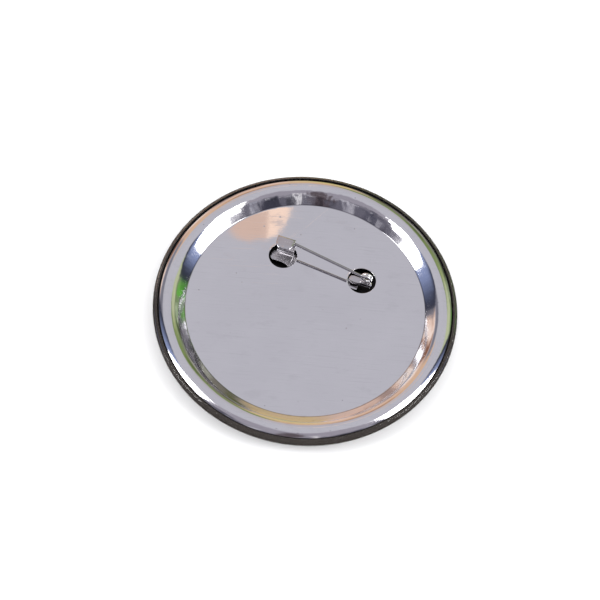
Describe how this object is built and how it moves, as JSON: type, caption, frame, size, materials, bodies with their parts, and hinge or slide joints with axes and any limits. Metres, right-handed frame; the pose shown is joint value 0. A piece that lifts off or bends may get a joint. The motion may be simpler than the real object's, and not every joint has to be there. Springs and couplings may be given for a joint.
{
  "type": "button badge",
  "caption": "Round pin-back button badge: domed film-covered front, rolled tinplate back with two holes, and a safety pin that swings out of its catch.",
  "frame": {"origin": "lowest point of the domed front, on the badge's axis, with the badge lying face down", "axes": "+Z out of the back, along the badge's axis; +X along the pin's chord from the catch to the spring; +Y from the badge's centre towards the pin"},
  "size_m": [0.075, 0.075, 0.0094],
  "materials": {
    "film": "clear gloss film",
    "print": "smooth dark print",
    "shell": "plain tinplate",
    "tinplate": "bright tinplate, fine rolling grain",
    "bar_steel": "bright-plated pressed strip",
    "wire": "bright-plated spring wire"
  },
  "bodies": {
    "badge": {"clear_film": "film", "printed_disc": "print", "front_shell": "shell", "back_plate": "tinplate", "pin_bar": "bar_steel", "spring_coil": "wire"},
    "pin": {"pin_arm": "wire"}
  },
  "joints": [
    {"name": "pin_swing", "type": "hinge", "parent": "badge", "child": "pin", "pos_m": [0.01035, 0.01163, 0.007], "axis": [-0.7656, 0.0957, 0.6361], "range_deg": [0, 112]}
  ]
}
